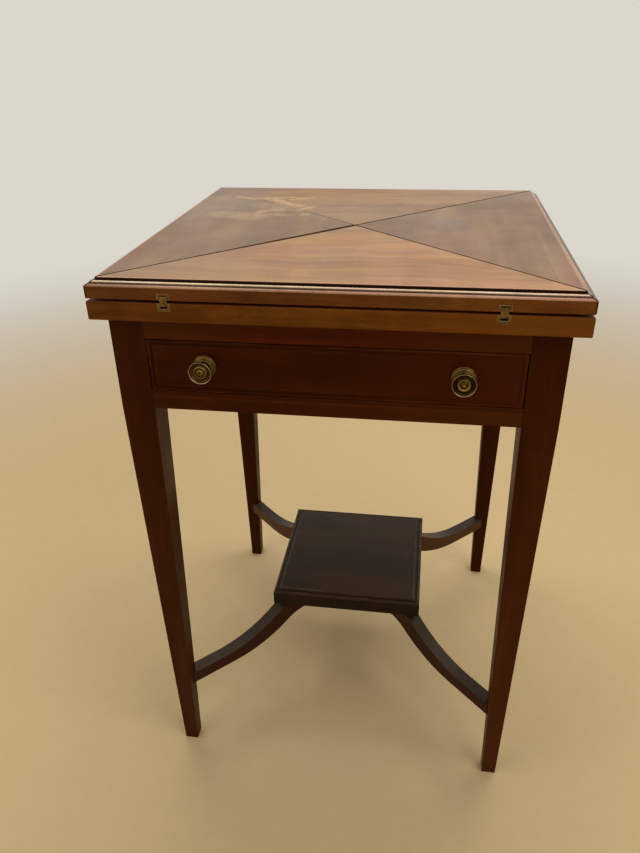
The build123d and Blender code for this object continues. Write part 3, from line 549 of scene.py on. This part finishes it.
def seam_shade(graph, x, y):
    """Painted shade along the four seams, and that of the front left one, the widest and darkest."""
    total = graph.add(x, y)
    apart = graph.less(x, y)
    out = graph.greatest((graph.absolute(total), graph.absolute(apart)))
    lines = []
    for x_sign, y_sign, wide, narrow, far, strength in SEAM_SHADE:
        across, along = (apart, total) if x_sign == y_sign else (total, apart)
        near = graph.times(graph.absolute(across), DIAGONAL)
        width = graph.spread(out, 0.02, far, wide, narrow)
        line = graph.spread(near, graph.times(width, 0.72), width, strength, 0.0)
        half = graph.math("GREATER_THAN", graph.times(along, float(x_sign)), 0.0)
        lines.append(graph.times(line, half))
    return graph.greatest(lines), lines[0]


def seam_painted_light(graph, x, y):
    """Painted light along the outer run of the back left seam: a pale band that offsets the dark of
    its gap.
    """
    near = graph.times(graph.absolute(graph.add(x, y)), DIAGONAL)
    outer = graph.spread(graph.less(y, x), *SEAM_LIGHT_REACH)
    return graph.times(graph.spread(near, *SEAM_LIGHT_FADE), outer)


def drift(graph, spot, scale, reach):
    """How far a mark wanders at a spot, to either side."""
    return graph.times(graph.less(graph.noise(spot, scale, 3.0, 0.6), 0.5), reach)


def bleached_wisps(graph, x, y):
    """Pale wavy marks on the back left, where the polish has worn."""
    moved_x = graph.add(x, drift(graph, graph.join(x, y, 0.37), 34.0, BLEACHED_SWAY))
    moved_y = graph.add(y, drift(graph, graph.join(y, x, 1.9), 34.0, BLEACHED_SWAY))
    spot = graph.join(moved_x, moved_y, 0.0)
    marks = graph.greatest([graph.stroke(spot, *mark) for mark in BLEACHED])
    uneven = graph.spread(graph.noise(spot, 75.0, 4.0, 0.65), 0.3, 0.6, 0.3, 1.0)
    return graph.times(marks, uneven)


def grey_haze(graph, x, y, places):
    """Soft greyish patches of dull polish round a few places."""
    moved_y = graph.add(y, drift(graph, graph.join(x, y, 0.0), 12.0, HAZE_SWAY))
    spot = graph.join(x, moved_y, 0.0)
    return graph.greatest([graph.stroke(spot, *mark) for mark in places])


def golden_streaks(graph, grain, field):
    """Broad soft streaks along the grain, golden and pinkish brown."""
    gold = graph.times(layer(graph, grain, *GOLD_STREAKS), 0.3)
    pink = graph.times(layer(graph, grain, *PINK_STREAKS), 0.35)
    field = graph.mix(gold, field, srgb(184, 142, 80))
    return graph.mix(pink, field, srgb(146, 98, 72))


def faded_field(graph, side, grain, x, y, inset):
    """A flap's faded face with its streaks, dull patches and rubbed marks."""
    figure, mottle = FIELD_FIGURE[side]
    field, level, pore = wood_colour(graph, grain, FIELD_TONES[side], figure, 0.25, mottle)
    if side == "front":
        field = golden_streaks(graph, grain, field)
        # Painted shade: the front flap darker and greyer towards its left end, as more light falls
        # from the right
        field = graph.mix(graph.spread(x, *FRONT_LEFT_SHADE_FADE), field, srgb(118, 92, 70))
    elif side == "right":
        field = graph.mix(grey_haze(graph, x, y, RIGHT_HAZE), field, srgb(92, 76, 64))
        line = graph.times(graph.band(inset, *RIGHT_LINE), graph.spread(y, *RIGHT_LINE_FADE))
        field = graph.mix(line, field, srgb(176, 140, 98))
        red = graph.times(graph.spread(inset, *RIGHT_RED_FADE_IN),
                          graph.spread(y, *RIGHT_RED_FADE_ALONG))
        field = graph.mix(red, field, srgb(140, 70, 50))
    else:
        field = graph.mix(grey_haze(graph, x, y, LEFT_HAZE), field, srgb(100, 84, 68))
        wisps = graph.times(bleached_wisps(graph, x, y), 0.6)
        field = graph.mix(wisps, field, srgb(200, 162, 118))
    return field, level, pore


def highlit_mould(graph, side, grain, inset, above):
    """A flap's plain edge and its moulding, with painted highlights on the thumb and the crest; the
    moulding is darker and greyer on all sides but the front.
    """
    wood = wood_colour(graph, grain, EDGE_TONES[:3], *EDGE_FIGURE)[0]
    if side != "front":
        wood = graph.mix(graph.times(above, 0.7), wood, srgb(60, 48, 30))
    on_thumb, on_crest, half = MOULD_HIGHLIGHTS[side]
    thumb = graph.times(graph.band(inset, *THUMB, on_thumb), above)
    crest = graph.times(graph.band(inset, CREST_MIDDLE, half, on_crest), above)
    wood = graph.mix(thumb, wood, wood_colour(graph, grain, THUMB_HIGHLIGHT_TONES, *EDGE_FIGURE)[0])
    return graph.mix(crest, wood, wood_colour(graph, grain, CREST_HIGHLIGHT_TONES, *EDGE_FIGURE)[0])


def flap_material(side):
    """A flap: a faded, polished field inside a moulding with painted highlights and painted shade,
    redder on the playing side.
    """
    graph = Graph("mahogany_flap_" + side)
    turn = math.radians(SIDES[side])
    outward = (math.sin(turn), -math.cos(turn), 0.0)
    axis = "X" if side in ("front", "back") else "Y"
    grain = grain_space(graph, axis, grain_shift(FLAP_SEEDS[side]), waviness=0.06)
    place = graph.place()
    x, y, height = graph.parts(place)
    inset = graph.less(TOP_HALF, graph.vector("DOT_PRODUCT", place, outward))
    above = graph.spread(height, FACE_TOP - 0.0006, FACE_TOP + 0.0003)
    wood = highlit_mould(graph, side, grain, inset, above)
    field, level, pore = faded_field(graph, side, grain, x, y, inset)
    on_field = graph.spread(height, FLAP_TOP - 0.0009, FLAP_TOP - 0.0005)
    wood = graph.mix(on_field, wood, field)
    # A painted highlight along the field's arris
    arris = graph.times(graph.band(inset, *FIELD_ARRIS_HIGHLIGHT), on_field)
    wood = graph.mix(arris, wood, srgb(196, 156, 130))
    # Painted shade at the foot of the step, and up the wall from the quirk
    step = graph.times(graph.band(inset, *STEP_SHADE), above)
    low = graph.spread(height, FLAP_TOP - 0.0008, FLAP_TOP - 0.0002, 1.0, 0.0)
    quirk = graph.times(graph.times(graph.spread(inset, *QUIRK_SHADE_REACH), low), above)
    seam, deepest = seam_shade(graph, x, y)
    # Painted light beside the back left seam
    if side in ("back", "left"):
        wood = graph.mix(seam_painted_light(graph, x, y), wood, srgb(206, 178, 150))
    # Painted shade of the step, the quirk and the seams, laid on in near black
    painted_shade = graph.greatest((step, quirk, seam))
    wood = graph.mix(painted_shade, wood, srgb(12, 4, 3))
    play = wood_colour(graph, grain, PLAY_TONES, *PLAY_FIGURE)[0]
    playing = graph.spread(height, FLAP_BOTTOM + 0.0004, FLAP_BOTTOM + 0.0014, 1.0, 0.0)
    colour = graph.mix(playing, wood, play)
    smudges = smudged(graph, 0.24, 0.4, scale=7.0, detail=5.0, roughness=0.62)
    roughness = graph.add(smudges, graph.times(painted_shade, 0.6))
    normal = pored(graph, level, pore, graph.soft_normal(0.0005), *TOP_RELIEF)
    normal = graph.bump(graph.less(1.0, seam), 0.0012, 1.0, normal)
    # The deepest seam shows the upright wall at its far side
    normal = graph.vector("NORMALIZE", graph.mix(deepest, normal, SEAM_WALL))
    return graph.finish(colour, roughness, normal, Specular_IOR_Level=0.42,
                        Specular_Tint=RED_GLOSS)


def board_material():
    """The board: its edge paler to the right as painted light, and paler at its arrises, its playing
    side redder.
    """
    graph = Graph("mahogany_board")
    grain = grain_space(graph, "X", (1.7, 0.4, 2.3))
    x, _, height = graph.parts(graph.place())
    colour, level, pore = wood_colour(graph, grain, EDGE_TONES[:3], *EDGE_FIGURE)
    colour = graph.mix(graph.spread(x, *BOARD_LIGHT_FADE), colour, srgb(118, 66, 14))
    play = wood_colour(graph, grain, PLAY_TONES, *PLAY_FIGURE)[0]
    playing = graph.spread(height, BOARD_TOP - 0.001, BOARD_TOP - 0.0002)
    colour = graph.mix(playing, colour, play)
    soft = graph.soft_normal(0.0008)
    edge = graph.times(graph.spread(graph.edge(soft), 0.02, 0.2), 0.4)
    colour = graph.mix(edge, colour, EDGE_TONES[3])
    normal = pored(graph, level, pore, soft, *TOP_RELIEF)
    return graph.finish(colour, smudged(graph, 0.3, 0.44), normal, Specular_IOR_Level=0.2,
                        Specular_Tint=RED_GLOSS)


def brass_material(name, bright, dull, rough=0.42, shine_width=0.0003, shine=0.4, turned=None):
    """Old brass: dirty in its hollows, and pale at its edges, a painted highlight that is partly
    rubbed brass; turned adds its rings.
    """
    graph = Graph(name)
    place = graph.place()
    patch = graph.spread(graph.noise(place, 160.0, 4.0, 0.65), 0.35, 0.7)
    redness = graph.spread(graph.noise(place, 70.0, 3.0, 0.6), 0.5, 0.75)
    hollow = graph.node("AmbientOcclusion", samples=8)
    graph.put(hollow.inputs["Distance"], 0.0025)
    grime = graph.spread(hollow.outputs["AO"], 0.25, 0.9, 1.0, 0.0)
    colour = graph.mix(patch, dull, bright)
    colour = graph.mix(graph.times(redness, 0.5), colour, srgb(98, 56, 34))
    if turned is not None:
        colour = turned(graph, colour)
    colour = graph.mix(graph.times(grime, 0.85), colour, srgb(22, 13, 5))
    # A painted highlight along the edges, where the brass is also rubbed
    soft = graph.soft_normal(shine_width)
    edge = graph.spread(graph.edge(soft), 0.03, 0.25)
    colour = graph.mix(graph.times(edge, shine), colour, srgb(206, 182, 148))
    roughness = graph.add(rough, graph.times(grime, 0.25))
    normal = graph.bump(graph.noise(place, 900.0, 3.0, 0.6), 0.00005, 0.3, soft)
    return graph.finish(colour, roughness, normal, Metallic=1.0)


def knob_rings(middle, rings):
    """Rings of tarnish with painted shade, and of painted highlight, on a turned face round one axis
    along Y.
    """
    def turned(graph, colour):
        x, _, height = graph.parts(graph.place())
        offset = graph.join(graph.less(x, middle), graph.less(height, KNOB_PLACE[1]), 0.0)
        radius = graph.vector("LENGTH", offset)
        for place, half, strength, tone in rings:
            colour = graph.mix(graph.band(radius, place, half, strength), colour, tone)
        return colour
    return turned


def steel_material():
    graph = Graph("dull_steel")
    place = graph.place()
    patch = graph.spread(graph.noise(place, 220.0, 4.0, 0.65), 0.35, 0.7)
    colour = graph.mix(patch, srgb(84, 80, 76), srgb(128, 124, 118))
    normal = graph.bump(graph.noise(place, 1200.0), 0.00004, 0.3, graph.soft_normal(0.0003))
    return graph.finish(colour, 0.42, normal, Metallic=1.0)


def baize_material():
    """Worn green wool cloth: a fine nap, rubbed paler where hands and cards lay."""
    graph = Graph("green_baize")
    place = graph.place()
    nap = graph.noise(place, 2600.0, 3.0, 0.7)
    clump = graph.noise(place, 420.0, 3.0, 0.6)
    rubbed = graph.spread(graph.noise(place, 7.0, 4.0, 0.6), 0.38, 0.72)
    colour = graph.mix(graph.spread(clump, 0.3, 0.7), srgb(26, 74, 44), srgb(38, 94, 58))
    colour = graph.mix(graph.times(rubbed, 0.45), colour, srgb(74, 116, 78))
    shade = graph.spread(nap, 0.3, 0.7, 0.78, 1.12)
    colour = graph.mix(1.0, colour, graph.join(shade, shade, shade), "MULTIPLY")
    lift = graph.add(nap, graph.times(clump, 0.5))
    return graph.finish(colour, 0.95, graph.bump(lift, 0.0004, 0.5), Specular_IOR_Level=0.15,
                        Sheen_Weight=0.3, Sheen_Roughness=0.5)


# The cloth, in metres: its mesh's longest edge, how wide its soft cut edge is, how far its face
# and its cut edge lie above the recess, and how uneven its nap is
CLOTH_MESH = 0.011
CLOTH_ROUND = 0.002
CLOTH_RISE = 0.0009
CLOTH_FOOT = 0.0001
CLOTH_NAP = 0.00008
NAP_SCALE = 40


def inside_polygon(point, corners):
    """Distance inside the nearest edge of a convex outline; negative outside."""
    nearest = None
    for first, second in zip(corners, corners[1:] + corners[:1]):
        along = (second - first).normalized()
        away = (point - first).dot(Vector((-along.y, along.x)))
        nearest = away if nearest is None else min(nearest, away)
    return nearest


def cloth_grid(outline):
    """A flat mesh of small triangles inside an outline."""
    shape = bmesh.new()
    shape.faces.new([shape.verts.new((corner.x, corner.y, 0.0)) for corner in outline])
    bmesh.ops.triangulate(shape, faces=shape.faces[:])
    while max(edge.calc_length() for edge in shape.edges) > CLOTH_MESH:
        longest = [edge for edge in shape.edges if edge.calc_length() > CLOTH_MESH]
        bmesh.ops.subdivide_edges(shape, edges=longest, cuts=1, use_grid_fill=True)
        bmesh.ops.triangulate(shape, faces=shape.faces[:])
    return shape


def cloth(name, corners, level, up, spin, body, node):
    """A thin cloth laid in its recess: soft at its cut edges, with a slight uneven nap."""
    outline = [Vector(corner) for corner in corners]
    shape = cloth_grid(outline)
    turn = math.radians(spin)
    for vert in shape.verts:
        flat = Vector((vert.co.x, vert.co.y))
        soft = min(1.0, max(0.0, inside_polygon(flat, outline) / CLOTH_ROUND))
        ripple = noise.noise(Vector((flat.x * NAP_SCALE, flat.y * NAP_SCALE, 3.0 * up + spin)))
        lift = CLOTH_RISE * (1 - (1 - soft) ** 2) + CLOTH_FOOT + CLOTH_NAP * ripple * soft
        x = flat.x * math.cos(turn) - flat.y * math.sin(turn)
        y = flat.x * math.sin(turn) + flat.y * math.cos(turn)
        vert.co = Vector((x, y, level + up * lift))
    bmesh.ops.recalc_face_normals(shape, faces=shape.faces[:])
    mesh = bpy.data.meshes.new(name)
    shape.to_mesh(mesh)
    shape.free()
    if mesh.polygons[0].normal.z * up < 0:
        mesh.flip_normals()
    for face in mesh.polygons:
        face.use_smooth = True
    piece = bpy.data.objects.new(name, mesh)
    bpy.context.scene.collection.objects.link(piece)
    mesh.materials.append(BAIZE)
    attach(piece, body)
    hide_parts(node)


def lay_baize():
    half = TOP_HALF - HINGE_BORDER - LEAF_GAP
    square = [(-half, -half), (half, -half), (half, half), (-half, half)]
    cloth("playing_cloth_board", square, BOARD_TOP - BAIZE_RECESS, 1, 0, "top", "top_baize")
    base = -TOP_HALF + HINGE_BORDER + LEAF_GAP
    back = (EDGE_BORDER + SEAM_HALF + LEAF_GAP) * math.sqrt(2)
    reach = -base - back
    triangle = [(-reach, base), (reach, base), (0.0, -back)]
    for side, spin in SIDES.items():
        cloth("playing_cloth_" + side, triangle, FLAP_BOTTOM + BAIZE_RECESS, -1, spin,
              "leaf_" + side, "flap_baize_" + side)


def dress_top():
    dress(["top_board"], board_material())
    for side in SIDES:
        dress(["flap_" + side], flap_material(side))


KNOB_TONES = (srgb(104, 78, 34), srgb(68, 50, 20))
TARNISH_AND_SHADE, RING_HIGHLIGHT, GLINT = srgb(34, 19, 7), srgb(140, 110, 50), srgb(170, 142, 104)
# Rings on each knob's face: radius, half the width, strength and tone; the pale tones are painted
# highlights and the dark one is tarnish with painted shade
KNOB_RINGS = {
    "left": (
        (0.0126, 0.0007, 0.8, GLINT), (0.0113, 0.0006, 0.7, TARNISH_AND_SHADE),
        (0.0090, 0.0006, 0.6, TARNISH_AND_SHADE), (0.0072, 0.0010, 0.7, RING_HIGHLIGHT),
        (0.0055, 0.0007, 0.7, TARNISH_AND_SHADE), (0.0028, 0.0012, 0.5, RING_HIGHLIGHT),
        (0.0, 0.0012, 0.9, TARNISH_AND_SHADE),
    ),
    "right": (
        (0.0127, 0.0007, 0.7, GLINT), (0.0094, 0.0032, 0.8, TARNISH_AND_SHADE),
        (0.0058, 0.0013, 0.8, RING_HIGHLIGHT), (0.0034, 0.0008, 0.6, TARNISH_AND_SHADE),
        (0.0, 0.0016, 0.7, GLINT),
    ),
}


def dress_metal():
    brass = brass_material("aged_brass", srgb(130, 98, 44), srgb(88, 66, 28),
                           shine_width=0.0007, shine=0.75)
    for side, middle in (("left", -KNOB_PLACE[0]), ("right", KNOB_PLACE[0])):
        rings = knob_rings(middle, KNOB_RINGS[side])
        dress(["knob_" + side],
              brass_material("aged_brass_knob_" + side, *KNOB_TONES, turned=rings))
    dress(["knob_roses"], brass_material("aged_brass_roses", srgb(116, 88, 42), srgb(84, 62, 28),
                                         rough=0.4, shine_width=0.0004, shine=0.5))
    hinge_nodes = ["board_hinge_leaves", "board_hinge_screws"]
    for side in SIDES:
        hinge_nodes += [part + side for part in ("flap_hinge_leaves_", "flap_hinge_screws_",
                                                 "hinge_links_", "hinge_pins_")]
    dress(hinge_nodes, brass)
    dress(["pivot_bolt", "pivot_washer", "pivot_nut", "shelf_arm_screws", "knob_bolts"],
          steel_material())


CAMERA_PLACE = (0.0992, -0.9631, 0.9785)
CAMERA_TURNS = (-0.1566, 0.5013, -0.0196)
# Focal length and picture height in pixels, and the sensor in millimetres
FOCAL_LENGTH = 716.3
PICTURE_HEIGHT = 853
SENSOR = 36


def add_camera():
    yaw, pitch, roll = CAMERA_TURNS
    forward = Vector((math.sin(yaw) * math.cos(pitch), math.cos(yaw) * math.cos(pitch),
                      -math.sin(pitch)))
    level = Vector((math.cos(yaw), -math.sin(yaw), 0.0))
    upright = level.cross(forward)
    right = math.cos(roll) * level + math.sin(roll) * upright
    up = -math.sin(roll) * level + math.cos(roll) * upright
    data = bpy.data.cameras.new("camera")
    data.lens = FOCAL_LENGTH / PICTURE_HEIGHT * SENSOR
    data.sensor_width = SENSOR
    data.clip_start = 0.05
    camera = bpy.data.objects.new("camera", data)
    bpy.context.scene.collection.objects.link(camera)
    rotation = camera.matrix_world.to_3x3()
    for row in range(3):
        rotation[row][0] = right[row]
        rotation[row][1] = up[row]
        rotation[row][2] = -forward[row]
    camera.matrix_world = rotation.to_4x4()
    camera.location = CAMERA_PLACE
    bpy.context.scene.camera = camera


# The floor's radius, and how far out it starts and ends its turn into the backdrop
FLOOR_RADIUS = 14.0
FLOOR_FADE = (0.9, 3.0)


def add_floor():
    shape = bmesh.new()
    bmesh.ops.create_circle(shape, cap_ends=True, radius=FLOOR_RADIUS, segments=96)
    mesh = bpy.data.meshes.new("floor")
    shape.to_mesh(mesh)
    shape.free()
    floor = bpy.data.objects.new("floor", mesh)
    bpy.context.scene.collection.objects.link(floor)
    graph = Graph("floor")
    place = graph.place()
    speck = graph.noise(place, 40.0, 4.0, 0.6)
    colour = graph.mix(speck, srgb(212, 183, 134), srgb(220, 191, 142))
    graph.finish(colour, 0.9, Specular_IOR_Level=0.1)
    near = next(node for node in graph.tree.nodes if node.type == "BSDF_PRINCIPLED")
    out = next(node for node in graph.tree.nodes if node.type == "OUTPUT_MATERIAL")
    # Away from the object the floor turns into the even backdrop
    far = graph.spread(graph.vector("LENGTH", place), *FLOOR_FADE)
    glow = graph.node("Emission")
    glow.inputs["Color"].default_value = BACKDROP
    blend = graph.node("MixShader")
    graph.fill(blend, (far, near.outputs[0], glow.outputs[0]))
    graph.put(out.inputs[0], blend.outputs[0])
    mesh.materials.append(graph.material)


LIGHT_AIM = (0, 0, 0.5)
# Each light's place, its size and its power
LIGHTS = {
    "overhead": ((0.0, 0.7, 2.4), (2.4, 1.0), 30),
    "key": ((1.5, -1.1, 2.4), (1.6, 1.6), 19),
    "fill": ((-1.7, -1.2, 2.0), (1.8, 1.8), 11),
}
AMBIENT = (1.0, 0.99, 0.97, 1.0)
AMBIENT_STRENGTH = 0.33


def add_light(name, place, size, power):
    data = bpy.data.lights.new(name, "AREA")
    data.shape = "RECTANGLE"
    data.size, data.size_y = size
    data.energy = power
    lamp = bpy.data.objects.new(name, data)
    bpy.context.scene.collection.objects.link(lamp)
    lamp.location = place
    toward = Vector(LIGHT_AIM) - Vector(place)
    lamp.rotation_euler = toward.to_track_quat("-Z", "Y").to_euler()


def add_world():
    """A soft ambient light; the eye and reflections see the even backdrop in its place."""
    world = bpy.data.worlds.new("studio")
    bpy.context.scene.world = world
    world.use_nodes = True
    tree = world.node_tree
    tree.nodes.clear()
    rays = tree.nodes.new("ShaderNodeLightPath")
    seen = rays.outputs["Is Camera Ray"]
    for kind in ("Is Transmission Ray", "Is Glossy Ray"):
        either = tree.nodes.new("ShaderNodeMath")
        either.operation = "MAXIMUM"
        tree.links.new(seen, either.inputs[0])
        tree.links.new(rays.outputs[kind], either.inputs[1])
        seen = either.outputs[0]
    choose = tree.nodes.new("ShaderNodeMixShader")
    tree.links.new(seen, choose.inputs[0])
    for slot, (colour, strength) in enumerate(((AMBIENT, AMBIENT_STRENGTH), (BACKDROP, 1.0)), 1):
        background = tree.nodes.new("ShaderNodeBackground")
        background.inputs["Color"].default_value = colour
        background.inputs["Strength"].default_value = strength
        tree.links.new(background.outputs[0], choose.inputs[slot])
    out = tree.nodes.new("ShaderNodeOutputWorld")
    tree.links.new(choose.outputs[0], out.inputs[0])


add_camera()
BAIZE = baize_material()
dress_frame()
dress_inside()
dress_top()
dress_metal()
lay_baize()
add_floor()
for light, (place, size, power) in LIGHTS.items():
    add_light(light, place, size, power)
add_world()
bpy.context.scene.view_settings.view_transform = "Standard"

bpy.context.view_layer.update()
